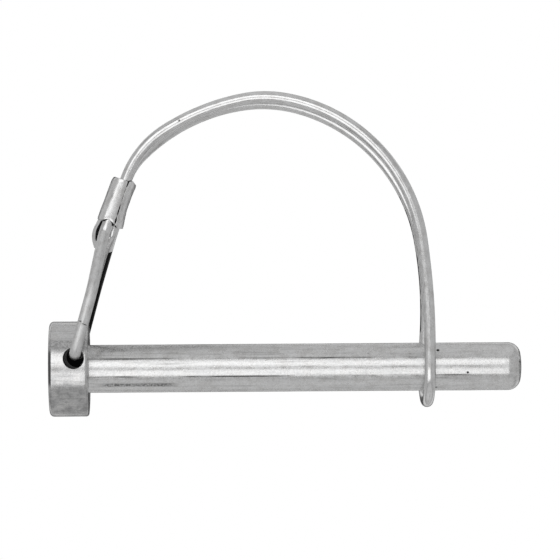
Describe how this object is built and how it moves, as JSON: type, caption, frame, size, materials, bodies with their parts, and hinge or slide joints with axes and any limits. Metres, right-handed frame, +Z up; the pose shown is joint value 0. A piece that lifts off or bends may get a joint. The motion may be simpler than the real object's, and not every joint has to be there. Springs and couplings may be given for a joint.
{
  "type": "hitch pin lock",
  "caption": "Headed round pin with a sprung wire bail that loops round the shank to lock it, zinc plated.",
  "frame": {"origin": "on the pin's axis, at the shoulder where the shank meets the underside of the head", "axes": "+X along the shank towards its tip, +Z up to the crown of the wire bow, -Y towards the front strand of the wire"},
  "size_m": [0.0623, 0.017, 0.0428],
  "materials": {
    "zinc_pin": "satin zinc plate",
    "zinc_wire": "bright zinc plate",
    "zinc_ferrule": "bright zinc plate, crimped"
  },
  "bodies": {
    "pin": {"headed_pin": "zinc_pin"},
    "bail": {"wire_hinge_end": "zinc_wire", "wire_front_bow_left": "zinc_wire", "wire_rear_bow_left": "zinc_wire", "wire_last_end": "zinc_wire", "ferrule": "zinc_ferrule"},
    "loop_side": {"wire_front_bow_right": "zinc_wire", "wire_rear_bow_right": "zinc_wire", "wire_loop": "zinc_wire"}
  },
  "joints": [
    {"name": "bail_pivot", "type": "hinge", "parent": "pin", "child": "bail", "pos_m": [-0.00162, 0, 0.00198], "axis": [0, 1, 0], "range_deg": [-250, 33], "deforming": ["wire_loop"]},
    {"name": "arch_flex", "type": "hinge", "parent": "bail", "child": "loop_side", "pos_m": [0.0234, 0, 0.03655], "axis": [0, -1, 0], "range_deg": [0, 32], "stiffness_Nm_per_rad": 0.1, "deforming": ["wire_loop"]}
  ]
}
